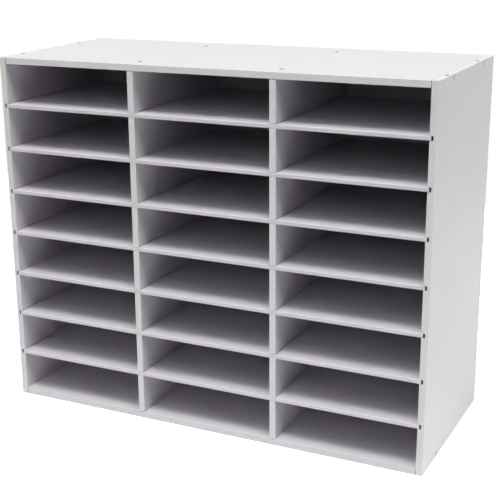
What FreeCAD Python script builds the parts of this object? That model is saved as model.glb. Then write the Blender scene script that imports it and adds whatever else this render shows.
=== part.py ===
import FreeCAD
import Part
import os
from FreeCAD import Placement, Rotation, Vector

# Pigeonhole mail sorter: a white board cabinet, open at the front, with columns of letter-size
# compartments. Full-width shelves cross the dividers in halved joints and slide out to the front.
# Millimetres. Origin at the centre of the footprint, +Z up, the open front faces -Y.

# Cabinet
cabinet_width = 737.0
cabinet_depth = 305.0
cabinet_height = 596.0
board_thickness = 10.4
columns = 3
rows = 8
panel_end_gap = 0.2

# Edge banding on the boards' visible edges
band_thickness = 1.0
band_chamfer = 0.4

# Shelves and the slots that carry them
shelf_thickness = 6.3
shelf_round = 1.0
shelf_headroom = 0.7
shelf_end_reach = 2.8
shelf_end_gap = 3.0
shelf_back_gap = 1.0
lap_depth = 148.0
lap_side_gap = 0.5

# Back panel, held in grooves
back_thickness = 3.0
back_inset = 6.5
back_groove_depth = 5.0
back_groove_gap = 0.15

# Countersunk one-piece connecting screws
screw_length = 40.0
screw_shank_diameter = 5.0
screw_head_diameter = 7.0
screw_sink = 0.4
screw_hole_gap = 0.05
divider_screw_from_front = 33.0
divider_screw_pitch = 225.0
side_screw_from_front = 73.0
side_screw_pitch = 168.0

# Blind locating holes in the top edges of the side panels
socket_diameter = 6.5
socket_depth = 14.0
socket_ahead_of_screw = 15.5

# How far a cutting tool runs past the face it cuts, and the slack of an edge test
overrun = 1.0
slack = 1e-6

# Places that follow from the sizes above
half_width = cabinet_width / 2.0
front = -cabinet_depth / 2.0
rear = cabinet_depth / 2.0
inner_half_width = half_width - board_thickness
floor_top = board_thickness
ceiling = cabinet_height - board_thickness
column_width = (2.0 * inner_half_width - (columns - 1) * board_thickness) / columns
row_height = (ceiling - floor_top - (rows - 1) * shelf_thickness) / rows
back_rear_face = rear - back_inset
back_front_face = back_rear_face - back_thickness
shelf_rear = back_front_face - shelf_back_gap
slot_height = shelf_thickness + shelf_headroom
slot_end = front + lap_depth
dado_depth = shelf_end_reach + shelf_end_gap
screw_head_radius = screw_head_diameter / 2.0
screw_shank_radius = screw_shank_diameter / 2.0
head_cone_height = screw_head_radius - screw_shank_radius


def block(x, y, z):
    """A rectangular solid from (low, high) pairs."""
    return Part.makeBox(x[1] - x[0], y[1] - y[0], z[1] - z[0], Vector(x[0], y[0], z[0]))


def extruded(points, sweep):
    """A flat outline pulled along sweep."""
    outline = Part.makePolygon(points + points[:1])
    return Part.Face(outline).extrude(sweep)


def turned(points):
    """A closed (radius, height) outline turned about the Z axis."""
    outline = Part.makePolygon([Vector(r, 0, z) for r, z in points + points[:1]])
    return Part.Face(outline).revolve(Vector(0, 0, 0), Vector(0, 0, 1), 360)


def edges_that(solid, keeps):
    """The edges of the solid that pass the test."""
    return [edge for edge in solid.Edges if keeps(edge)]


def runs_along(edge, axis):
    """True where a straight edge runs along the given axis index."""
    start, end = edge.Vertexes[0].Point, edge.Vertexes[-1].Point
    moved = [abs(end[i] - start[i]) for i in range(3)]
    return all(moved[i] < slack for i in range(3) if i != axis)


def write(name, shape):
    """Save one node as a STEP file."""
    shape.exportStep("parts/" + name + ".step")


# Layout

def divider_centres():
    """X of each divider's middle, from left to right."""
    pitch = column_width + board_thickness
    first = -inner_half_width + column_width + board_thickness / 2.0
    return [first + i * pitch for i in range(columns - 1)]


def shelf_undersides():
    """Z of each shelf's underside, from the top shelf down."""
    pitch = row_height + shelf_thickness
    return [ceiling - i * pitch for i in range(1, rows)]


def side_screw_places():
    """Y of the screws through a side panel."""
    first = front + side_screw_from_front
    return [first, first + side_screw_pitch]


def divider_screw_places():
    """Y of the screws over and under a divider."""
    first = front + divider_screw_from_front
    return [first, first + divider_screw_pitch]


# Screws

def screw_blank(gap, rise):
    """The screw's outline with gap all round; its head face is at Z 0 and rise extends it up."""
    head = screw_head_radius + gap
    shank = screw_shank_radius + gap
    end = -screw_length - gap
    return turned([(0, rise), (head, rise), (head, 0), (shank, -head_cone_height), (shank, end), (0, end)])


def placed(shape, face_point, outward, sink):
    """A copy that points outward from a board's face, sunk below it."""
    turn = Rotation(Vector(0, 0, 1), outward)
    copy = shape.copy()
    copy.Placement = Placement(face_point - outward * sink, turn)
    return copy


def end_seats(side):
    """Face points of the screws through a side panel, -1 left or +1 right: two up, one down."""
    top = cabinet_height - board_thickness / 2.0
    bottom = board_thickness / 2.0
    front_place, rear_place = side_screw_places()
    places = [(front_place, top), (rear_place, top), (front_place, bottom)]
    return [(Vector(side * half_width, y, z), Vector(side, 0, 0)) for y, z in places]


def top_seats():
    """Face points of the screws down through the top panel into the dividers."""
    return [(Vector(x, y, cabinet_height), Vector(0, 0, 1))
            for x in divider_centres() for y in divider_screw_places()]


def bottom_seats():
    """Face points of the screws up through the bottom panel, one at the front of each divider."""
    front_place = divider_screw_places()[0]
    return [(Vector(x, front_place, 0), Vector(0, 0, -1)) for x in divider_centres()]


def screw_set(seats):
    """The screws of one group."""
    return Part.makeCompound([placed(screw_blank(0, 0), point, outward, screw_sink)
                              for point, outward in seats])


def drilled(board, seats):
    """The board with the countersunk holes of these screws."""
    hole = screw_blank(screw_hole_gap, screw_sink + overrun)
    return board.cut([placed(hole, point, outward, screw_sink) for point, outward in seats])


# Locating holes

def sockets(side):
    """Tools for the blind holes down into a side panel's top edge."""
    x = side * (half_width - board_thickness / 2.0)
    bottom = cabinet_height - socket_depth
    height = socket_depth + overrun
    places = [y - socket_ahead_of_screw for y in side_screw_places()]
    return [Part.makeCylinder(socket_diameter / 2.0, height, Vector(x, y, bottom)) for y in places]


# Slots and grooves

def side_dadoes(side):
    """Grooves across a side panel's inner face, open at the front, one for each shelf."""
    inner = inner_half_width
    x = sorted([side * (inner - overrun), side * (inner + dado_depth)])
    y = (front - overrun, rear + overrun)
    return [block(x, y, (z, z + slot_height)) for z in shelf_undersides()]


def back_groove():
    """The room for the back panel's edges in the four outer boards."""
    reach = back_groove_depth
    return block(
        (-inner_half_width - reach, inner_half_width + reach),
        (back_front_face - back_groove_gap, back_rear_face + back_groove_gap),
        (floor_top - reach, ceiling + reach),
    )


# Boards

def side_panel(side):
    """An outer upright, behind its front band and under its top band."""
    x = sorted([side * inner_half_width, side * half_width])
    board = block(x, (front + band_thickness, rear), (0, cabinet_height - band_thickness))
    board = board.cut(side_dadoes(side) + [back_groove()] + sockets(side))
    return drilled(board, end_seats(side))


def end_panel(z, seats):
    """The top or bottom panel, butted between the side panels."""
    half_length = inner_half_width - panel_end_gap
    board = block((-half_length, half_length), (front + band_thickness, rear), z)
    board = board.cut(back_groove())
    return drilled(board, seats + end_seats(-1) + end_seats(1))


def comb_profile(x, start):
    """A divider's outline from the side: solid behind, with one front slot for each shelf."""
    points = [Vector(x, back_front_face, floor_top), Vector(x, start, floor_top)]
    for z in reversed(shelf_undersides()):
        points += [
            Vector(x, start, z),
            Vector(x, slot_end, z),
            Vector(x, slot_end, z + slot_height),
            Vector(x, start, z + slot_height),
        ]
    return points + [Vector(x, start, ceiling), Vector(x, back_front_face, ceiling)]


def divider(centre):
    """An inner upright with its slots, behind its front band."""
    profile = comb_profile(centre - board_thickness / 2.0, front + band_thickness)
    board = extruded(profile, Vector(board_thickness, 0, 0))
    return drilled(board, top_seats() + bottom_seats())


def shelf(z):
    """A full-width shelf, notched from the rear where it crosses each divider."""
    end = inner_half_width + shelf_end_reach
    notch = board_thickness / 2.0 + lap_side_gap
    points = [Vector(-end, front, z), Vector(-end, shelf_rear, z)]
    for x in divider_centres():
        points += [
            Vector(x - notch, shelf_rear, z),
            Vector(x - notch, slot_end, z),
            Vector(x + notch, slot_end, z),
            Vector(x + notch, shelf_rear, z),
        ]
    points += [Vector(end, shelf_rear, z), Vector(end, front, z)]
    board = extruded(points, Vector(0, 0, shelf_thickness))
    arrises = edges_that(board, lambda e: runs_along(e, 0) and e.BoundBox.YMax < front + slack)
    return board.makeFillet(shelf_round, arrises)


def back_panel():
    """A thin sheet whose four edges stand in the grooves of the outer boards."""
    reach = back_groove_depth - back_groove_gap
    return block(
        (-inner_half_width - reach, inner_half_width + reach),
        (back_front_face, back_rear_face),
        (floor_top - reach, ceiling + reach),
    )


# Edge bands

def front_band(x, z, length_axis):
    """A strip on a board's front edge with its two long front arrises eased."""
    strip = block(x, (front, front + band_thickness), z)
    arrises = edges_that(strip, lambda e: runs_along(e, length_axis) and e.BoundBox.YMax < front + slack)
    return strip.makeChamfer(band_chamfer, arrises)


def side_front_band(side):
    """The full-height strip on a side panel, notched where the dadoes come out."""
    x = sorted([side * inner_half_width, side * half_width])
    return front_band(x, (0, cabinet_height), 2).cut(side_dadoes(side))


def side_top_band(side):
    """The strip on a side panel's top edge, behind the front strip and drilled by the sockets."""
    x = sorted([side * inner_half_width, side * half_width])
    z = (cabinet_height - band_thickness, cabinet_height)
    strip = block(x, (front + band_thickness, rear), z)
    arrises = edges_that(strip, lambda e: runs_along(e, 1) and e.BoundBox.ZMin > cabinet_height - slack)
    return strip.makeChamfer(band_chamfer, arrises).cut(sockets(side))


def end_panel_band(z):
    """The strip on the front edge of the top or bottom panel."""
    half_length = inner_half_width - panel_end_gap
    return front_band((-half_length, half_length), z, 0)


def divider_band(centre):
    """The strip on a divider, cut through by the shelf slots."""
    x = (centre - board_thickness / 2.0, centre + board_thickness / 2.0)
    strip = front_band(x, (floor_top, ceiling), 2)
    wide = (x[0] - overrun, x[1] + overrun)
    deep = (front - overrun, front + band_thickness + overrun)
    return strip.cut([block(wide, deep, (z, z + slot_height)) for z in shelf_undersides()])


# Build

os.makedirs("parts", exist_ok=True)

for side, label in ((-1, "left"), (1, "right")):
    write(label + "_side_panel", side_panel(side))
    write(label + "_side_front_band", side_front_band(side))
    write(label + "_side_top_band", side_top_band(side))
    write(label + "_side_screws", screw_set(end_seats(side)))

write("top_panel", end_panel((ceiling, cabinet_height), top_seats()))
write("top_panel_band", end_panel_band((ceiling, cabinet_height)))
write("top_screws", screw_set(top_seats()))
write("bottom_panel", end_panel((0, floor_top), bottom_seats()))
write("bottom_panel_band", end_panel_band((0, floor_top)))
write("bottom_screws", screw_set(bottom_seats()))
write("back_panel", back_panel())

for number, centre in enumerate(divider_centres(), start=1):
    write("divider_%d" % number, divider(centre))
    write("divider_%d_band" % number, divider_band(centre))

for number, underside in enumerate(shelf_undersides(), start=1):
    write("shelf_%d" % number, shelf(underside))
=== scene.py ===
import math
import random

import bmesh
import bpy
from mathutils import Matrix, Vector


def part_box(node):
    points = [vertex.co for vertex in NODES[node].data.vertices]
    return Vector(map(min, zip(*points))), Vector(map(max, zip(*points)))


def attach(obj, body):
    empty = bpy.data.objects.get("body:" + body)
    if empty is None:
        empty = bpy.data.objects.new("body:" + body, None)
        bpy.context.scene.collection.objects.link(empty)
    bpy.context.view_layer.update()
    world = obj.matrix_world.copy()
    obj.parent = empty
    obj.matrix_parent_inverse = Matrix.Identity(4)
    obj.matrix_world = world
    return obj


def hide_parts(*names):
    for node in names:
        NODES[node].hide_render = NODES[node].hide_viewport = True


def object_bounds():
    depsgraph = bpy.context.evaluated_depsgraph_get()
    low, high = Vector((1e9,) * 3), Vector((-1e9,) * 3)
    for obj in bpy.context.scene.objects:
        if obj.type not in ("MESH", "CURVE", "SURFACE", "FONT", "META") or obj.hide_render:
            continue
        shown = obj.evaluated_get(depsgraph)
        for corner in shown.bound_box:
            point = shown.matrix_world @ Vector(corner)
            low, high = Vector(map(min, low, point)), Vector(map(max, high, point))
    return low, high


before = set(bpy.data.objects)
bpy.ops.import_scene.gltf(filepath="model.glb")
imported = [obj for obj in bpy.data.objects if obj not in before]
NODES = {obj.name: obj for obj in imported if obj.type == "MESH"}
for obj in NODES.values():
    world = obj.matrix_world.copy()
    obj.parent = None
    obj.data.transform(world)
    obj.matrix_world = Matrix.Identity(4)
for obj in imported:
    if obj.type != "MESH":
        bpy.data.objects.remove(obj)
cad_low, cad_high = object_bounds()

# A pigeonhole mail sorter of white-faced fibreboard. The boards are the CAD nodes themselves, with
# eased arrises and their finishes; the screws are modelled here. Metres, in the frame of the packed
# part: the open front faces -Y and +Z is up.

MM = 0.001
X, Y, Z = range(3)

# Sizes read from the frame
side_low, side_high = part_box("right_side_panel")
top_low, top_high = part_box("top_panel")
bottom_low, bottom_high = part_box("bottom_panel")
divider_low, divider_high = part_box("divider_2")
shelf_low, shelf_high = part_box("shelf_1")
screws_low, screws_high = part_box("top_screws")
back_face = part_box("back_panel")[0][Y]
band_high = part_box("top_panel_band")[1]

HEIGHT = cad_high[Z] - cad_low[Z]
MID_HEIGHT = HEIGHT / 2
FRONT = cad_low[Y]
REAR = cad_high[Y]
BAND_BACK = band_high[Y]
SHELF_CORE = (shelf_high[Z] - shelf_low[Z]) / 2

# Upright holes whose walls are painted dark with shade: |x| and y of their centres, radius, depth
# that shows
HEAD_RADIUS = 3.5 * MM
HEAD_PLAY = 0.05 * MM
SOCKETS = ((side_low[X] + side_high[X]) / 2, (-95.0 * MM, 73.0 * MM), 3.25 * MM, 14.0 * MM)
TOP_SCREW_HOLES = (
    screws_high[X] - HEAD_RADIUS,
    (screws_low[Y] + HEAD_RADIUS, screws_high[Y] - HEAD_RADIUS),
    HEAD_RADIUS + HEAD_PLAY,
    2.0 * MM,
)

# Camera: matched to the photograph's straight edges, in its 500 x 500 frame
PICTURE_SIDE = 500.0
SENSOR_WIDTH = 36.0
FOCAL_PIXELS = 1118.9
OPTICAL_AXIS_PIXEL = (222.05, 255.92)
CAMERA_PLACE = Vector((0.7901, -1.6379, 0.8166))
CAMERA_YAW = 0.4701
CAMERA_PITCH = 0.2972
CAMERA_ROLL = 0.0136


# ---------------------------------------------------------------- shader building

# A Mix node's sockets share their names: its two numbers, its two colours and its colour result
MIX_NUMBERS = (2, 3)
MIX_COLOURS = (6, 7)
MIXED_COLOUR = 2


class Finish:
    """One node material, with short names for the nodes it is built from."""

    def __init__(self, name):
        self.material = bpy.data.materials.new(name)
        self.material.use_nodes = True
        self.nodes = self.material.node_tree.nodes
        self.links = self.material.node_tree.links
        self.nodes.clear()
        output = self.nodes.new("ShaderNodeOutputMaterial")
        self.shader = self.nodes.new("ShaderNodeBsdfPrincipled")
        self.links.new(self.shader.outputs["BSDF"], output.inputs["Surface"])
        place = self.nodes.new("ShaderNodeTexCoord")
        self.place = place.outputs["Object"]
        self.normal = place.outputs["Normal"]

    def feed(self, socket, value):
        """Links a socket to another, or sets it to a number or colour."""
        if isinstance(value, bpy.types.NodeSocket):
            self.links.new(value, socket)
        else:
            socket.default_value = value

    def set(self, name, value):
        """Sets or links one input of the surface shader."""
        self.feed(self.shader.inputs[name], value)

    def math(self, operation, a, b=0.0):
        """One arithmetic operation on values or numbers."""
        node = self.nodes.new("ShaderNodeMath")
        node.operation = operation
        self.feed(node.inputs[0], a)
        self.feed(node.inputs[1], b)
        return node.outputs[0]

    def plus(self, a, b):
        return self.math("ADD", a, b)

    def times(self, a, b):
        return self.math("MULTIPLY", a, b)

    def absolute(self, a):
        return self.math("ABSOLUTE", a)

    def weighed(self, a, share_a, b, share_b):
        """The sum of two values, each times its share."""
        return self.plus(self.times(a, share_a), self.times(b, share_b))

    def hypotenuse(self, a, b):
        return self.math("SQRT", self.plus(self.times(a, a), self.times(b, b)))

    def axes(self, vector=None):
        """The three parts of a vector, by default of the place on the part."""
        node = self.nodes.new("ShaderNodeSeparateXYZ")
        self.feed(node.inputs[0], self.place if vector is None else vector)
        return node.outputs[0], node.outputs[1], node.outputs[2]

    def stretched(self, scale, shift=(0, 0, 0)):
        """The place on the part, shifted and then scaled by a factor for each axis."""
        node = self.nodes.new("ShaderNodeMapping")
        self.feed(node.inputs["Vector"], self.place)
        node.inputs["Location"].default_value = [s * f for s, f in zip(shift, scale)]
        node.inputs["Scale"].default_value = scale
        return node.outputs[0]

    def shifted(self, shift):
        """The place on the part, shifted."""
        return self.stretched((1, 1, 1), shift)

    def noise(self, pattern, vector=None, distortion=0.0):
        """Noise from 0 to 1, about 0.5 on average. A pattern is a scale, detail and roughness."""
        node = self.nodes.new("ShaderNodeTexNoise")
        self.feed(node.inputs["Vector"], self.place if vector is None else vector)
        for name, value in zip(("Scale", "Detail", "Roughness"), pattern):
            node.inputs[name].default_value = value
        node.inputs["Distortion"].default_value = distortion
        return node.outputs["Fac"]

    def cells(self, scale):
        """Distance to the nearest point of a random cell pattern."""
        node = self.nodes.new("ShaderNodeTexVoronoi")
        node.feature = "F1"
        self.feed(node.inputs["Vector"], self.place)
        node.inputs["Scale"].default_value = scale
        return node.outputs["Distance"]

    def span(self, value, low, high, to_low=0.0, to_high=1.0):
        """The value mapped smoothly from low..high to to_low..to_high, and clamped."""
        node = self.nodes.new("ShaderNodeMapRange")
        node.interpolation_type = "SMOOTHSTEP"
        self.feed(node.inputs["Value"], value)
        self.feed(node.inputs["From Min"], low)
        self.feed(node.inputs["From Max"], high)
        self.feed(node.inputs["To Min"], to_low)
        self.feed(node.inputs["To Max"], to_high)
        return node.outputs["Result"]

    def under(self, value, low, high):
        """1 where the value is under low, 0 where it is over high, and smooth between."""
        return self.span(value, low, high, 1.0, 0.0)

    def blend(self, factor, *colours):
        """The first of two colours where factor is 0 and the second where it is 1."""
        node = self.nodes.new("ShaderNodeMix")
        node.data_type = "RGBA"
        self.feed(node.inputs[0], factor)
        for socket, colour in zip(MIX_COLOURS, colours):
            self.feed(node.inputs[socket], colour)
        return node.outputs[MIXED_COLOUR]

    def tinged(self, tone, tint, value, low, high, share):
        """The tone with a share of a tint where the value is over high, and none under low."""
        return self.blend(self.span(value, low, high, 0.0, share), tone, tint)

    def between(self, factor, *numbers):
        """The first of two numbers where factor is 0 and the second where it is 1."""
        node = self.nodes.new("ShaderNodeMix")
        self.feed(node.inputs[0], factor)
        for socket, number in zip(MIX_NUMBERS, numbers):
            self.feed(node.inputs[socket], number)
        return node.outputs[0]

    def bump(self, height, distance, strength, base=None):
        """A normal bent by a height, on top of a base normal if there is one."""
        node = self.nodes.new("ShaderNodeBump")
        node.inputs["Strength"].default_value = strength
        node.inputs["Distance"].default_value = distance
        self.feed(node.inputs["Height"], height)
        if base is not None:
            self.feed(node.inputs["Normal"], base)
        return node.outputs["Normal"]

    def gap_to(self, value, *planes):
        """Distance from a coordinate to the nearest of one or two planes."""
        gaps = [self.absolute(self.math("SUBTRACT", value, plane)) for plane in planes]
        return gaps[0] if len(gaps) == 1 else self.math("MINIMUM", gaps[0], gaps[1])

    def second(self, a, b, c):
        """The middle one of three distances to faces: small only near an arris."""
        lower = self.math("MINIMUM", a, b)
        higher = self.math("MAXIMUM", a, b)
        return self.math("MAXIMUM", lower, self.math("MINIMUM", higher, c))


def rgb(red, green, blue):
    return (red, green, blue, 1.0)


def times_colour(colour, factor):
    return rgb(*[min(1.0, factor * part) for part in colour[:3]])


def along_and_across(axis, along, across):
    """Factors for the three axes: one along an axis and another across it."""
    return [along if other == axis else across for other in range(3)]


# ---------------------------------------------------------------- layers of the finishes

# Base colours. The whites were trimmed by measure to the photograph, in its light. Where like
# pieces or the two ends of one differ, that is painted shade which the lamps don't give: the inner
# faces, shelves and back are darker as painted shade, and the bands darker towards the bottom and
# the left.
# The hole walls are painted shade and the joint lines painted shadow over a dark joint, both far
# darker than the real thing, so that marks under a pixel wide show as they do there.
OUTER_WHITE = rgb(0.766, 0.763, 0.783)
# The inner faces' whites and the shelf white are darker than the outer white, as painted shade of
# the compartments
INNER_SHADED_WHITE = rgb(0.75, 0.723, 0.768)
SIDE_INNER_SHADED_WHITE = rgb(0.797, 0.762, 0.813)
SHELF_SHADED_WHITE = rgb(0.703, 0.680, 0.722)
SHELF_EDGE_WHITE = rgb(0.867, 0.834, 0.866)
BAND_WHITE = rgb(0.94, 0.921, 0.916)
# The band whites at the bottom and at the left end are darker: painted shade
BAND_LOW_SHADED_WHITE = rgb(0.875, 0.856, 0.882)
BOTTOM_BAND_SHADED_WHITE = rgb(0.81, 0.798, 0.81)
LEFT_TOP_BAND_SHADED_WHITE = rgb(0.757, 0.752, 0.756)
TOP_BAND_WHITE = rgb(0.835, 0.83, 0.826)
# The back's white is darker, as painted shade of the compartments
BACK_SHADED_WHITE = rgb(0.78, 0.74, 0.775)
RUBBED = rgb(0.60, 0.585, 0.57)
GLUE = rgb(0.52, 0.49, 0.44)
# The butt joints: a dark joint with painted shadow, far darker than the joint itself
JOINT_SHADOW = rgb(0.09, 0.085, 0.08)
FIBRE_PALE = rgb(0.46, 0.345, 0.24)
FIBRE_DARK = rgb(0.28, 0.20, 0.135)
# Painted shade on the walls of the holes, near black
HOLE_SHADE = rgb(0.012, 0.010, 0.009)
# Painted shade in the dado grooves
GROOVE_SHADE = rgb(0.07, 0.063, 0.058)
HARDBOARD = rgb(0.30, 0.185, 0.10)
HARDBOARD_DARK = rgb(0.17, 0.095, 0.05)

# How glossy the faces are, as the shader's specular level
SATIN = 0.35
INNER_SATIN = 0.15

# A noise pattern is its scale in features per metre, its detail and its roughness. The scale is 1
# where the place is stretched first. A _SPAN is the two values of a noise or slope between which
# its effect sets in, followed in some by how strong the effect is. An _END or _FOOT is the same
# for a distance or a height.
MIDDLE_SPAN = (0.3, 0.7)

# White melamine
LAMINATE_THICKNESS = 0.2 * MM
LAMINATE_END = (0.9 * LAMINATE_THICKNESS, 1.1 * LAMINATE_THICKNESS)
CLOUDS = (7.0, 3.0, 0.55)
MOTTLE = (55.0, 4.0, 0.6)
SHADE_SPAN = (0.32, 0.68)
DULLEST, BRIGHTEST = 0.985, 1.01
SMUDGES = (16.0, 2.0, 0.6)
SMUDGE_SHIFT = (3.1, 1.7, 0.4)
SMUDGE_DISTORTION = 0.6
SMUDGE_SPAN = (0.56, 0.74, 0.03)
SMUDGE_DULLING_SPAN = (0.5, 0.75, 0.0, 0.08)
WIPES = (1.0, 3.0, 0.6)
WIPE_STRETCH = (18, 240, 240)
LAMINATE_ROUGHNESS = (0.42, 0.52)
PEARLS_PER_METRE = 900.0
GRAIN = (420.0, 2.0, 0.5)

# Sawn fibreboard
FIBRES = (1.0, 4.0, 0.65)
FIBRE_STRETCH = (180, 1400)
CLUMPS = (110.0, 3.0, 0.6)
FIBRE_SPAN = (0.36, 0.66)
SAW_MARKS = (1.0, 1.0, 0.4)
SAW_STRETCH = (900, 25)
DENSE_DEPTH = 2.2 * MM
DENSE_SHARE = 0.45

# Wear on the arrises
CHIPS = (330.0, 4.0, 0.7)
CHIP_SPAN = (0.45, 0.75)
RUNS = (24.0, 2.0, 0.5)
RUN_SPAN = (0.4, 0.65)
WEAR_WIDTH = 0.9 * MM
WEAR_FULL_WIDTH = 0.25 * WEAR_WIDTH
WEAR_SHARE = 0.6

# Walls of the drilled holes, painted dark with shade: how far outside their radius they end, and
# the shares of their depth between which the painted shade ends
WALL_END = (0.02 * MM, 0.25 * MM)
WALL_FOOT = (1.1, 1.02)

# Roughness of raw fibreboard, and the depth and strength of its bump and of the laminate's
RAW_ROUGHNESS = 0.9
RAW_BUMP = (0.25 * MM, 0.6)
PEARL_BUMP = (0.035 * MM, 0.35)


def laminate_tone(finish, colour, shift, smudge):
    """White melamine, unevenly bright and a little smudged."""
    place = finish.shifted(shift)
    shade = finish.weighed(finish.noise(CLOUDS, place), 0.6, finish.noise(MOTTLE, place), 0.4)
    dull, bright = times_colour(colour, DULLEST), times_colour(colour, BRIGHTEST)
    tone = finish.blend(finish.span(shade, *SHADE_SPAN), dull, bright)
    return finish.tinged(tone, RUBBED, smudge, *SMUDGE_SPAN)


def laminate(finish, colour, shift, outer_colour=None, outward=None):
    """Pearl-textured white melamine: its tone, roughness and bump height. A second colour takes
    over where outward is 1: on the boards it is the lit outer faces' white, and the first the inner
    faces' white, darker as painted shade."""
    smudge = finish.noise(SMUDGES, finish.shifted(SMUDGE_SHIFT), SMUDGE_DISTORTION)
    tone = laminate_tone(finish, colour, shift, smudge)
    if outer_colour:
        tone = finish.blend(outward, tone, laminate_tone(finish, outer_colour, shift, smudge))
    wipe = finish.noise(WIPES, finish.stretched(WIPE_STRETCH, shift))
    rough = finish.between(finish.span(wipe, *MIDDLE_SPAN), *LAMINATE_ROUGHNESS)
    rough = finish.plus(rough, finish.span(smudge, *SMUDGE_DULLING_SPAN))
    height = finish.weighed(finish.cells(PEARLS_PER_METRE), 0.6, finish.noise(GRAIN), 0.4)
    return tone, rough, height


def fibreboard(finish, depth_in, along):
    """Tone and bump height of a sawn edge of fibreboard: dense and dark near its faces, paler and
    fluffier in the core."""
    fibre = finish.noise(FIBRES, finish.stretched(along_and_across(along, *FIBRE_STRETCH)))
    mixed = finish.weighed(fibre, 0.65, finish.noise(CLUMPS), 0.35)
    tone = finish.blend(finish.span(mixed, *FIBRE_SPAN), FIBRE_DARK, FIBRE_PALE)
    dense = finish.span(depth_in, 0.0, DENSE_DEPTH, DENSE_SHARE, 0.0)
    tone = finish.blend(dense, tone, FIBRE_DARK)
    saw = finish.noise(SAW_MARKS, finish.stretched(along_and_across(along, *SAW_STRETCH)))
    return tone, finish.weighed(fibre, 0.7, saw, 0.3)


def drilled(finish, parts, aside, places, radius, depth):
    """1 on the walls of upright holes in a top face: aside and places are their centres' |x| and
    y, and depth is how far down their walls show."""
    off = finish.math("SUBTRACT", finish.absolute(parts[X]), aside)
    distance = finish.hypotenuse(off, finish.gap_to(parts[Y], *places))
    inside = finish.under(distance, *[radius + step for step in WALL_END])
    above = finish.span(parts[Z], *[HEIGHT - share * depth for share in WALL_FOOT])
    return finish.times(inside, above)


def worn_arris(finish, tone, distance):
    """Small rubs and chips where the distance to an arris is small."""
    chips = finish.span(finish.noise(CHIPS), *CHIP_SPAN)
    runs = finish.span(finish.noise(RUNS), *RUN_SPAN)
    near = finish.under(distance, WEAR_FULL_WIDTH, WEAR_WIDTH)
    worn = finish.times(finish.times(near, finish.times(chips, runs)), WEAR_SHARE)
    return finish.blend(worn, tone, RUBBED)


def close_board(finish, faced, white, raw, satin=INNER_SATIN):
    """Joins a white face and a raw edge: faced is 1 on the white face and 0 on the raw edge."""
    white_tone, white_rough, white_height = white
    raw_tone, raw_height = raw
    finish.set("Base Color", finish.blend(faced, raw_tone, white_tone))
    finish.set("Roughness", finish.between(faced, RAW_ROUGHNESS, white_rough))
    finish.set("Specular IOR Level", satin)
    bare = finish.math("SUBTRACT", 1.0, faced)
    coarse = finish.bump(finish.times(raw_height, bare), *RAW_BUMP)
    fine = finish.bump(finish.times(white_height, faced), *PEARL_BUMP, coarse)
    finish.set("Normal", fine)
    return finish.material


# ---------------------------------------------------------------- finishes of the boards

# Ends of the boards along their third axis, as distances from the middle or heights
OUTLINE = {
    "side_board": (0.0, side_high[Z]),
    "end_board": (top_high[X],),
    "divider_board": (divider_low[Z], divider_high[Z]),
}
OUTWARD_STEP = 0.1 * MM
# Painted shade on the raw walls of the dado grooves: its share, and where it stops at the rear and
# the bottom
GROOVE_SHADE_SHARE = 0.65
GROOVE_END = (REAR - 2 * MM, REAR - 1 * MM)
GROOVE_FOOT = (0.5 * MM, 1.0 * MM)


def board_finish(name, axis, centre, planes, outside, along, shift):
    """A board faced on both sides of one axis. Mirror-image boards share it: planes are the
    distances of their inner and outer faces from the centre plane."""
    finish = Finish(name)
    parts = finish.axes()
    away = finish.absolute(finish.math("SUBTRACT", parts[axis], centre))
    depth_in = finish.gap_to(away, *planes)
    faced = finish.under(depth_in, *LAMINATE_END)
    core = sum(planes) / 2
    outward = finish.span(away, core, core + OUTWARD_STEP)
    # The inner faces get a white darkened as painted shade, the outer ones the lit white
    inner_shaded_white = SIDE_INNER_SHADED_WHITE if name == "side_board" else INNER_SHADED_WHITE
    outer_white = OUTER_WHITE if outside else None
    white, rough, height = laminate(finish, inner_shaded_white, shift, outer_white, outward)
    end_gap = finish.gap_to(parts[Y], REAR, BAND_BACK)
    third = Z if axis == X else X
    edge_gap = finish.gap_to(finish.absolute(parts[third]), *OUTLINE[name])
    white = worn_arris(finish, white, finish.second(depth_in, end_gap, edge_gap))
    raw, raw_height = fibreboard(finish, depth_in, along)
    if name == "side_board":
        # Painted shade in the dado grooves, on the raw fibre away from the rear and the bottom
        # edges
        groove_shade = finish.span(parts[Y], *GROOVE_END, GROOVE_SHADE_SHARE, 0.0)
        groove_shade = finish.times(groove_shade, finish.span(parts[Z], *GROOVE_FOOT))
        raw = finish.blend(groove_shade, raw, GROOVE_SHADE)
        # Painted shade, near black, on the walls of the sockets
        raw = finish.blend(drilled(finish, parts, *SOCKETS), raw, HOLE_SHADE)
    if name == "end_board":
        # Painted shade, near black, on the walls and rims of the screw holes
        holes = drilled(finish, parts, *TOP_SCREW_HOLES)
        raw = finish.blend(holes, raw, HOLE_SHADE)
        white = finish.blend(holes, white, HOLE_SHADE)
    satin = SATIN if outside else INNER_SATIN
    return close_board(finish, faced, (white, rough, height), (raw, raw_height), satin)


SHELF_SHIFT = (5.3, 2.9, 7.7)
CUT_SPAN = (0.6, 0.75)
WRAP_END = (FRONT + 0.7 * MM, FRONT + 1.1 * MM)
WRAP_STREAKS = (1.0, 3.0, 0.6)
WRAP_STRETCH = (30, 900, 1200)
WRAP_STREAK_SPAN = (0.35, 0.7, 0.12)
WRAP_ROUGHNESS = 0.42


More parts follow.
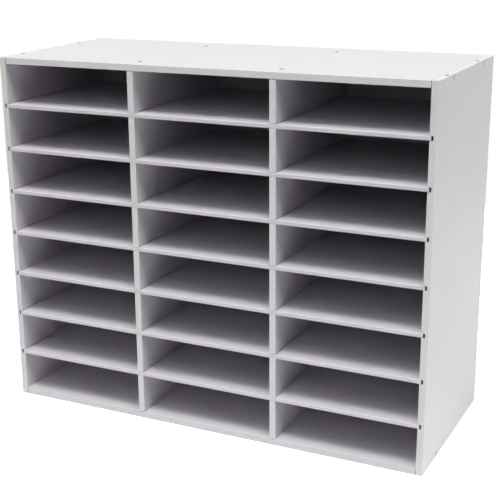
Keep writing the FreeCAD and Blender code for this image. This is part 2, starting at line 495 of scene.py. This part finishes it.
def shelf_finish():
    """The thin shelf: white faces and a wrapped front edge, raw where it was cut, on the faces that
    look sideways or back."""
    finish = Finish("shelf_board")
    along_y = finish.axes()[Y]
    normal = finish.axes(finish.normal)
    cut = finish.math("MAXIMUM", finish.absolute(normal[X]), normal[Y])
    faced = finish.under(cut, *CUT_SPAN)
    # The shelf faces are darker as painted shade of the compartments
    white, rough, height = laminate(finish, SHELF_SHADED_WHITE, SHELF_SHIFT)
    fronting = finish.under(along_y, *WRAP_END)
    streak = finish.noise(WRAP_STREAKS, finish.stretched(WRAP_STRETCH))
    edge = finish.tinged(SHELF_EDGE_WHITE, RUBBED, streak, *WRAP_STREAK_SPAN)
    white = finish.blend(fronting, white, edge)
    rough = finish.between(fronting, rough, WRAP_ROUGHNESS)
    return close_board(finish, faced, (white, rough, height), fibreboard(finish, SHELF_CORE, X))


# Height over which the bands' painted shade at the bottom fades out
BAND_SHADE_HEIGHT = 0.35
BAND_TURN = (-0.3, 0.3)
BAND_STREAKS = (1.0, 3.0, 0.65)
BAND_STRETCH = (25, 1300)
BAND_CLOUDS = (9.0, 3.0, 0.6)
BAND_CLOUD_SHARE = 0.04
BAND_MOTTLE = (140.0, 3.0, 0.6)
BAND_MOTTLE_SPAN = (0.5, 0.75, 0.08)
BAND_STREAK_SPAN = (0.5, 0.8, 0.06)
BAND_ROUGHNESS = (0.40, 0.54)
BAND_BUMP = (0.03 * MM, 0.4)
GLUE_END = (0.05 * MM, 0.16 * MM)
GLUE_SHARE = 0.7
# Width of the painted shadow at the band joints: wider at the left end of the level bands than the
# right
JOINT_END = (0.4 * MM, 0.6 * MM)
LEVEL_JOINT_FACTORS = (0.5, 1.3)
UPRIGHT_JOINT_FACTOR = 0.75


def joint_gap(finish, parts, along, ends):
    """Distance to a band's butt joints, times a factor that widens or narrows their lines of
    painted
    shadow: on the level bands it changes from left to right."""
    if along == X:
        gap = finish.gap_to(finish.absolute(parts[X]), *ends)
        return finish.times(gap, finish.span(parts[X], *BAND_TURN, *LEVEL_JOINT_FACTORS))
    return finish.times(finish.gap_to(parts[along], *ends), UPRIGHT_JOINT_FACTOR)


def band_finish(name, colour, crosswise, behind, ends, along):
    """Plastic edge banding, darker towards the bottom or the left end as painted shade. crosswise
    is the axis through its thickness, behind the plane of its glue line, and ends the planes where
    it butts against other boards, with a dark joint line where the joint's shadow is painted near
    black."""
    finish = Finish(name)
    parts = finish.axes()
    streak = finish.noise(BAND_STREAKS, finish.stretched(along_and_across(along, *BAND_STRETCH)))
    cloud = finish.noise(BAND_CLOUDS)
    mottle = finish.noise(BAND_MOTTLE)
    # Painted shade: the top edge band darker towards the left end, the other bands towards the
    # bottom
    if name == "top_edge_band":
        base = finish.blend(finish.span(parts[X], *BAND_TURN), LEFT_TOP_BAND_SHADED_WHITE, colour)
    else:
        low = BOTTOM_BAND_SHADED_WHITE if along == X else BAND_LOW_SHADED_WHITE
        base = finish.blend(finish.span(parts[Z], 0.0, BAND_SHADE_HEIGHT), low, colour)
    tone = finish.blend(finish.span(cloud, *MIDDLE_SPAN, BAND_CLOUD_SHARE, 0.0), base, RUBBED)
    tone = finish.tinged(tone, RUBBED, mottle, *BAND_MOTTLE_SPAN)
    tone = finish.tinged(tone, RUBBED, streak, *BAND_STREAK_SPAN)
    glue = finish.span(finish.gap_to(parts[crosswise], behind), *GLUE_END, GLUE_SHARE, 0.0)
    tone = finish.blend(glue, tone, GLUE)
    if ends:
        # Painted shadow of the joint gaps, near black, over the dark joint line
        joint = finish.under(joint_gap(finish, parts, along, ends), *JOINT_END)
        tone = finish.blend(joint, tone, JOINT_SHADOW)
    if name == "top_edge_band":
        # Painted shade, near black, where the sockets cut the top edge band
        tone = finish.blend(drilled(finish, parts, *SOCKETS), tone, HOLE_SHADE)
    finish.set("Base Color", tone)
    finish.set("Roughness", finish.between(finish.span(streak, *MIDDLE_SPAN), *BAND_ROUGHNESS))
    finish.set("Specular IOR Level", SATIN)
    finish.set("Normal", finish.bump(finish.weighed(streak, 0.6, mottle, 0.4), *BAND_BUMP))
    return finish.material


BACK_SHIFT = (9.1, 4.2, 2.2)
MESH_PITCH = 1.6 * MM
MESH_SPAN = (0.1, 0.9, 0.25)
FLECKS = (260.0, 5.0, 0.7)
REAR_CLOUDS = (12.0, 4.0, 0.6)
REAR_CLOUD_SPAN = (0.3, 0.75, 0.2)


def back_finish():
    """Thin hardboard: painted white towards the compartments, bare with a mesh imprint behind."""
    finish = Finish("back_board")
    x, y, z = finish.axes()
    # The back's white face is darker as painted shade of the compartments
    white = laminate(finish, BACK_SHADED_WHITE, BACK_SHIFT)
    faced = finish.under(y, *[back_face + depth for depth in LAMINATE_END])
    turns = 2 * math.pi / MESH_PITCH
    warp = finish.math("SINE", finish.times(x, turns))
    weft = finish.math("SINE", finish.times(z, turns))
    mesh = finish.times(warp, weft)
    fleck = finish.noise(FLECKS)
    raw = finish.blend(finish.span(fleck, *MIDDLE_SPAN), HARDBOARD_DARK, HARDBOARD)
    raw = finish.tinged(raw, FIBRE_PALE, finish.noise(REAR_CLOUDS), *REAR_CLOUD_SPAN)
    raw = finish.tinged(raw, HARDBOARD_DARK, mesh, *MESH_SPAN)
    return close_board(finish, faced, white, (raw, finish.weighed(mesh, 0.7, fleck, 0.5)))


SCREW_CLOUDS = (420.0, 4.0, 0.6)
SCREW_GRAIN = (2600.0, 2.0, 0.5)
SCREW_BUMP = (0.02 * MM, 0.3)


def screw_finish(name, colours, metallic, satin, roughness):
    """Coated steel, uneven between two colours and between two roughnesses."""
    finish = Finish(name)
    cloud = finish.noise(SCREW_CLOUDS)
    grain = finish.noise(SCREW_GRAIN)
    finish.set("Base Color", finish.blend(finish.span(cloud, *MIDDLE_SPAN), *colours))
    finish.set("Metallic", metallic)
    finish.set("Specular IOR Level", satin)
    finish.set("Roughness", finish.between(finish.span(grain, *MIDDLE_SPAN), *roughness))
    finish.set("Normal", finish.bump(grain, *SCREW_BUMP))
    return finish.material


def planes_from(centre, low, high, axis):
    """Distances of a board's two faces from a centre plane, nearer first."""
    return sorted((abs(low[axis] - centre), abs(high[axis] - centre)))


side_planes = planes_from(0.0, side_low, side_high, X)
divider_planes = planes_from(0.0, divider_low, divider_high, X)
end_planes = planes_from(MID_HEIGHT, top_low, top_high, Z)
divider_ends = (bottom_high[Z], top_low[Z])
zinc_colours = (rgb(0.50, 0.50, 0.51), rgb(0.64, 0.64, 0.63))
oxide_colours = (rgb(0.03, 0.03, 0.032), rgb(0.07, 0.07, 0.07))

side_board = board_finish("side_board", X, 0.0, side_planes, True, Z, (1.3, 0.2, 3.4))
divider_board = board_finish("divider_board", X, 0.0, divider_planes, False, Z, (6.2, 8.1, 0.7))
end_board = board_finish("end_board", Z, MID_HEIGHT, end_planes, True, X, (2.4, 5.5, 9.6))
shelf_board = shelf_finish()
back_board = back_finish()
side_band = band_finish("side_band", BAND_WHITE, Y, BAND_BACK, (), Z)
divider_band = band_finish("divider_band", BAND_WHITE, Y, BAND_BACK, divider_ends, Z)
level_band = band_finish("level_band", BAND_WHITE, Y, BAND_BACK, (band_high[X],), X)
top_edge_band = band_finish("top_edge_band", TOP_BAND_WHITE, Z, side_high[Z], (), Y)
bright_zinc = screw_finish("bright_zinc", zinc_colours, metallic=1.0, satin=0.5,
                           roughness=(0.28, 0.46))
black_oxide = screw_finish("black_oxide", oxide_colours, metallic=0.0, satin=0.15,
                           roughness=(0.65, 0.85))


# ---------------------------------------------------------------- boards

ARRIS = {"board": 0.15 * MM, "band": 0.1 * MM}
ARRIS_SEGMENTS = 2
SHARP_TURN = math.radians(35)
FLAT_TURN = math.radians(0.5)
SHORTEST_ARRIS = 2.0 * MM
WELD_DISTANCE = 0.002 * MM


def arris_marker():
    """Geometry nodes that mark the long sharp edges of a mesh for bevelling, and keep the short
    ones, as round a hole's rim, sharp."""
    group = bpy.data.node_groups.new("mark_arrises", "GeometryNodeTree")
    for direction in ("INPUT", "OUTPUT"):
        group.interface.new_socket("Geometry", in_out=direction, socket_type="NodeSocketGeometry")
    nodes, links = group.nodes, group.links
    entry = nodes.new("NodeGroupInput")
    leave = nodes.new("NodeGroupOutput")
    ends = nodes.new("GeometryNodeInputMeshEdgeVertices")
    turn = nodes.new("GeometryNodeInputMeshEdgeAngle").outputs["Unsigned Angle"]
    length = nodes.new("ShaderNodeVectorMath")
    length.operation = "DISTANCE"
    links.new(ends.outputs["Position 1"], length.inputs[0])
    links.new(ends.outputs["Position 2"], length.inputs[1])

    def combined(operation, a, b):
        """A new operation on a socket and either another one or a number."""
        node = nodes.new("ShaderNodeMath")
        node.operation = operation
        links.new(a, node.inputs[0])
        if isinstance(b, bpy.types.NodeSocket):
            links.new(b, node.inputs[1])
        else:
            node.inputs[1].default_value = b
        return node.outputs[0]

    is_long = combined("GREATER_THAN", length.outputs["Value"], SHORTEST_ARRIS)
    is_sharp = combined("GREATER_THAN", turn, SHARP_TURN)
    eased = combined("MULTIPLY", is_long, is_sharp)
    kept_sharp = combined("GREATER_THAN", is_sharp, is_long)
    flow = entry.outputs[0]
    for name, kind, value in (("bevel_weight_edge", "FLOAT", eased),
                              ("sharp_edge", "BOOLEAN", kept_sharp)):
        store = nodes.new("GeometryNodeStoreNamedAttribute")
        store.data_type = kind
        store.domain = "EDGE"
        store.inputs["Name"].default_value = name
        links.new(flow, store.inputs["Geometry"])
        links.new(value, store.inputs["Value"])
        flow = store.outputs["Geometry"]
    links.new(flow, leave.inputs[0])
    return group


def ease(board, marker, width):
    """Rounds a board's arrises without a change to its mesh."""
    weld = board.modifiers.new("weld", "WELD")
    weld.merge_threshold = WELD_DISTANCE
    flat = board.modifiers.new("flat", "DECIMATE")
    flat.decimate_type = "DISSOLVE"
    flat.angle_limit = FLAT_TURN
    mark = board.modifiers.new("mark", "NODES")
    mark.node_group = marker
    bevel = board.modifiers.new("arris", "BEVEL")
    bevel.limit_method = "WEIGHT"
    bevel.width = width
    bevel.segments = ARRIS_SEGMENTS
    shade = board.modifiers.new("shade", "WEIGHTED_NORMAL")
    shade.keep_sharp = True


def dress(board, material):
    """Gives a CAD board its material."""
    slots = board.data.materials
    slots.clear()
    slots.append(material)


def material_for(node):
    """The finish of a board or band, by its name."""
    banded = node.endswith("_band")
    if node.endswith("_top_band"):
        return top_edge_band
    if node.startswith("divider"):
        return divider_band if banded else divider_board
    if node.startswith(("left", "right")):
        return side_band if banded else side_board
    if node.startswith("shelf"):
        return shelf_board
    if node == "back_panel":
        return back_board
    return level_band if banded else end_board


marker = arris_marker()
for node in NODES:
    if node.endswith("_screws"):
        continue
    dress(NODES[node], material_for(node))
    ease(NODES[node], marker, ARRIS["band" if node.endswith("_band") else "board"])


# ---------------------------------------------------------------- screws

NECK_RADIUS = 2.2 * MM
CREST_RADIUS = 2.5 * MM
ROOT_RADIUS = 1.75 * MM
TIP_RADIUS = 0.35 * ROOT_RADIUS
HEAD_RIM = 0.12 * MM
SCREW_LENGTH = 40.0 * MM
NECK_LENGTH = 9.0 * MM
NECK_RUN_OUT = 0.5 * MM
TIP_LENGTH = 2.0 * MM
THREAD_PITCH = 3.0 * MM
RIDGE_HALF_WIDTH = 0.24
RINGS_PER_TURN = 8
RECESS_HALF_WIDTH = 0.55 * MM
RECESS_REACH = 2.1 * MM
RECESS_DEPTH = 1.9 * MM
RECESS_POINT = 1.15 * RECESS_DEPTH
RECESS_TAPER = 0.55
TINY = 1e-9
SCREW_SEED = 7
PLACE_DIGITS = 4


def quarter_angles():
    """Angles that fall on each corner of the cross recess, over a full turn."""
    corner = math.atan2(RECESS_HALF_WIDTH, RECESS_REACH)
    first = [0.0, corner, (corner + math.pi / 4) / 2, math.pi / 4]
    quarter = first + [math.pi / 2 - angle for angle in (first[2], first[1])]
    return [turn * math.pi / 2 + angle for turn in range(4) for angle in quarter]


def recess_radius(angle):
    """Outline of the cross in a direction from its middle."""
    side, ahead = max(abs(math.sin(angle)), TINY), max(abs(math.cos(angle)), TINY)
    along_x = min(RECESS_REACH / ahead, RECESS_HALF_WIDTH / side)
    along_y = min(RECESS_REACH / side, RECESS_HALF_WIDTH / ahead)
    return max(along_x, along_y)


def thread_radius(angle, z):
    """Radius of the threaded part at an angle and height."""
    turn = (z / THREAD_PITCH - angle / (2 * math.pi)) % 1.0
    ridge = max(0.0, 1.0 - abs(turn - 0.5) / RIDGE_HALF_WIDTH)
    run_in = min(1.0, (-NECK_LENGTH - z) / THREAD_PITCH)
    return ROOT_RADIUS + (CREST_RADIUS - ROOT_RADIUS) * ridge * max(0.0, run_in)


def screw_rings():
    """Radius rules and heights from the recess bottom, over the head and down to the tip."""
    rings = [
        (lambda angle, z: recess_radius(angle) * RECESS_TAPER, -RECESS_DEPTH),
        (lambda angle, z: recess_radius(angle), 0.0),
        (lambda angle, z: HEAD_RADIUS - HEAD_RIM, 0.0),
        (lambda angle, z: HEAD_RADIUS, -HEAD_RIM),
        (lambda angle, z: NECK_RADIUS, -(HEAD_RADIUS - NECK_RADIUS) - HEAD_RIM),
        (lambda angle, z: NECK_RADIUS, -NECK_LENGTH + NECK_RUN_OUT),
    ]
    step = THREAD_PITCH / RINGS_PER_TURN
    count = int((SCREW_LENGTH - NECK_LENGTH - TIP_LENGTH) / step)
    rings += [(thread_radius, -NECK_LENGTH - i * step) for i in range(count + 1)]
    rings.append((lambda angle, z: TIP_RADIUS, -SCREW_LENGTH))
    return rings


def ring_point(radius, angle, z):
    return Vector((radius * math.cos(angle), radius * math.sin(angle), z))


def add_screw(mesh, placing):
    """One screw with its head face at the origin of placing, driven along its -Z."""
    angles = quarter_angles()
    loops = []
    for radius, z in screw_rings():
        points = [ring_point(radius(angle, z), angle, z) for angle in angles]
        loops.append([mesh.verts.new(placing @ point) for point in points])
    for upper, lower in zip(loops, loops[1:]):
        for i in range(len(angles)):
            j = (i + 1) % len(angles)
            mesh.faces.new((upper[i], lower[i], lower[j], upper[j]))
    for loop, z in ((loops[0], -RECESS_POINT), (loops[-1], -SCREW_LENGTH)):
        hub = mesh.verts.new(placing @ Vector((0, 0, z)))
        for i in range(len(angles)):
            mesh.faces.new((hub, loop[i], loop[(i + 1) % len(angles)]))


def screw_set(node, seats, outward, turns, finish):
    """The screws of one CAD node: seats are the middles of their head faces."""
    mesh = bmesh.new()
    turned = outward.to_track_quat("Z", "Y").to_matrix().to_4x4()
    for seat in seats:
        spin = Matrix.Rotation(turns.uniform(0, math.pi / 2), 4, "Z")
        add_screw(mesh, Matrix.Translation(seat) @ turned @ spin)
    bmesh.ops.recalc_face_normals(mesh, faces=mesh.faces)
    data = bpy.data.meshes.new(node + "_turned")
    mesh.to_mesh(data)
    mesh.free()
    data.shade_smooth()
    data.set_sharp_from_angle(angle=SHARP_TURN)
    data.materials.append(finish)
    piece = bpy.data.objects.new(node + "_turned", data)
    bpy.context.scene.collection.objects.link(piece)
    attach(piece, "cabinet")
    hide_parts(node)


def middle(low, high, axis):
    return (low[axis] + high[axis]) / 2


def make_screws():
    """The upright screws into the dividers, then the level ones through the side panels."""
    turns = random.Random(SCREW_SEED)
    aside = middle(divider_low, divider_high, X)
    for node, end, outward in (("top_screws", 1, 1), ("bottom_screws", 0, -1)):
        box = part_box(node)
        heads = (box[0][Y] + HEAD_RADIUS, box[1][Y] - HEAD_RADIUS)
        places = sorted({round(head, PLACE_DIGITS) for head in heads})
        seats = [Vector((side * aside, y, box[end][Z])) for side in (-1, 1) for y in places]
        screw_set(node, seats, Vector((0, 0, outward)), turns, black_oxide)
    high, low = middle(top_low, top_high, Z), middle(bottom_low, bottom_high, Z)
    for node, end, outward in (("left_side_screws", 0, -1), ("right_side_screws", 1, 1)):
        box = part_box(node)
        face = box[end][X]
        ahead, behind = box[0][Y] + HEAD_RADIUS, box[1][Y] - HEAD_RADIUS
        seats = [Vector((face, y, z)) for y, z in ((ahead, high), (behind, high), (ahead, low))]
        screw_set(node, seats, Vector((outward, 0, 0)), turns, bright_zinc)


make_screws()


# ---------------------------------------------------------------- floor, light and camera

FLOOR_ASIDE = 1.5
FLOOR_AHEAD = 1.1
FLOOR_BEHIND = 1.5
FLOOR_LEVEL = -0.1 * MM
FLOOR_ALBEDO = 0.92
FLOOR_ROUGHNESS = 0.9
FLOOR_WHITENING = (0.72, 1.0)
FLOOR_WHITENING_REACH = (0.6, 1.3)
WHITE = rgb(1, 1, 1)
LAMP_TARGET = Vector((0, 0, 0.3))
LAMP_DISTANCE = 6.0

# Azimuth from the open front and elevation in degrees, side in metres, and watts, which were solved
# for from the photograph's tones
LAMPS = {
    "left": (-60, 45, 2.0, 25.8),
    "front_low": (0, 48, 1.6, 31.6),
    "front_middle": (0, 66, 1.6, 102.6),
    "front_high": (0, 75, 1.6, 92.3),
    "right": (60, 55, 2.0, 90.3),
    "low_right": (100, 12, 3.2, 75.2),
    "rear_right": (145, 25, 3.2, 48.0),
    "rear_left": (-115, 20, 3.2, 61.0),
}


def camera_sees(nodes, links):
    """1 for rays from the camera, a mirror or glass, and 0 for light that spreads."""
    path = nodes.new("ShaderNodeLightPath")
    seen = path.outputs["Is Camera Ray"]
    for kind in ("Is Glossy Ray", "Is Transmission Ray"):
        either = nodes.new("ShaderNodeMath")
        either.operation = "MAXIMUM"
        links.new(seen, either.inputs[0])
        links.new(path.outputs[kind], either.inputs[1])
        seen = either.outputs[0]
    return seen


def make_floor():
    """A pale floor that keeps the shadow, and whitens with the distance where it is seen."""
    mesh = bpy.data.meshes.new("floor")
    outline = ((-1, -FLOOR_AHEAD), (1, -FLOOR_AHEAD), (1, FLOOR_BEHIND), (-1, FLOOR_BEHIND))
    corners = [(side * FLOOR_ASIDE, y, FLOOR_LEVEL) for side, y in outline]
    mesh.from_pydata(corners, [], [(0, 1, 2, 3)])
    floor = bpy.data.objects.new("floor", mesh)
    bpy.context.scene.collection.objects.link(floor)
    finish = Finish("floor")
    finish.set("Base Color", rgb(FLOOR_ALBEDO, FLOOR_ALBEDO, FLOOR_ALBEDO))
    finish.set("Roughness", FLOOR_ROUGHNESS)
    finish.set("Specular IOR Level", 0.0)
    finish.set("Emission Color", WHITE)
    distance = finish.hypotenuse(*finish.axes()[:2])
    whitening = finish.span(distance, *FLOOR_WHITENING_REACH, *FLOOR_WHITENING)
    seen = camera_sees(finish.nodes, finish.links)
    finish.set("Emission Strength", finish.times(seen, whitening))
    mesh.materials.append(finish.material)


def make_world():
    """White where it is seen or mirrored, and no light of its own."""
    world = bpy.data.worlds.new("studio")
    bpy.context.scene.world = world
    world.use_nodes = True
    nodes, links = world.node_tree.nodes, world.node_tree.links
    nodes.clear()
    output = nodes.new("ShaderNodeOutputWorld")
    shown = nodes.new("ShaderNodeBackground")
    shown.inputs["Color"].default_value = WHITE
    links.new(camera_sees(nodes, links), shown.inputs["Strength"])
    links.new(shown.outputs[0], output.inputs["Surface"])


def softbox(name, azimuth, elevation, side, watts):
    """A square lamp that faces the sorter."""
    around, up = math.radians(azimuth), math.radians(elevation)
    level = math.cos(up)
    away = Vector((math.sin(around) * level, -math.cos(around) * level, math.sin(up)))
    lamp = bpy.data.lights.new(name, "AREA")
    lamp.shape = "SQUARE"
    lamp.size = side
    lamp.energy = watts
    light = bpy.data.objects.new(name, lamp)
    bpy.context.scene.collection.objects.link(light)
    light.location = LAMP_TARGET + away * LAMP_DISTANCE
    light.rotation_mode = "QUATERNION"
    light.rotation_quaternion = away.to_track_quat("Z", "Y")


def make_camera():
    sin_yaw, cos_yaw = math.sin(CAMERA_YAW), math.cos(CAMERA_YAW)
    sin_pitch, cos_pitch = math.sin(CAMERA_PITCH), math.cos(CAMERA_PITCH)
    sin_roll, cos_roll = math.sin(CAMERA_ROLL), math.cos(CAMERA_ROLL)
    forward = Vector((-sin_yaw * cos_pitch, cos_yaw * cos_pitch, -sin_pitch))
    level_right = Vector((cos_yaw, sin_yaw, 0))
    level_down = forward.cross(level_right)
    right = level_right * cos_roll + level_down * sin_roll
    down = level_down * cos_roll - level_right * sin_roll
    turn = Matrix((right, -down, -forward)).transposed().to_4x4()
    lens = bpy.data.cameras.new("camera")
    lens.sensor_width = SENSOR_WIDTH
    lens.lens = FOCAL_PIXELS / PICTURE_SIDE * SENSOR_WIDTH
    lens.shift_x = 0.5 - OPTICAL_AXIS_PIXEL[0] / PICTURE_SIDE
    lens.shift_y = OPTICAL_AXIS_PIXEL[1] / PICTURE_SIDE - 0.5
    camera = bpy.data.objects.new("camera", lens)
    camera.matrix_world = Matrix.Translation(CAMERA_PLACE) @ turn
    bpy.context.scene.collection.objects.link(camera)
    bpy.context.scene.camera = camera


make_floor()
make_world()
for name, lamp in LAMPS.items():
    softbox(name, *lamp)
make_camera()
bpy.context.scene.view_settings.view_transform = "Standard"
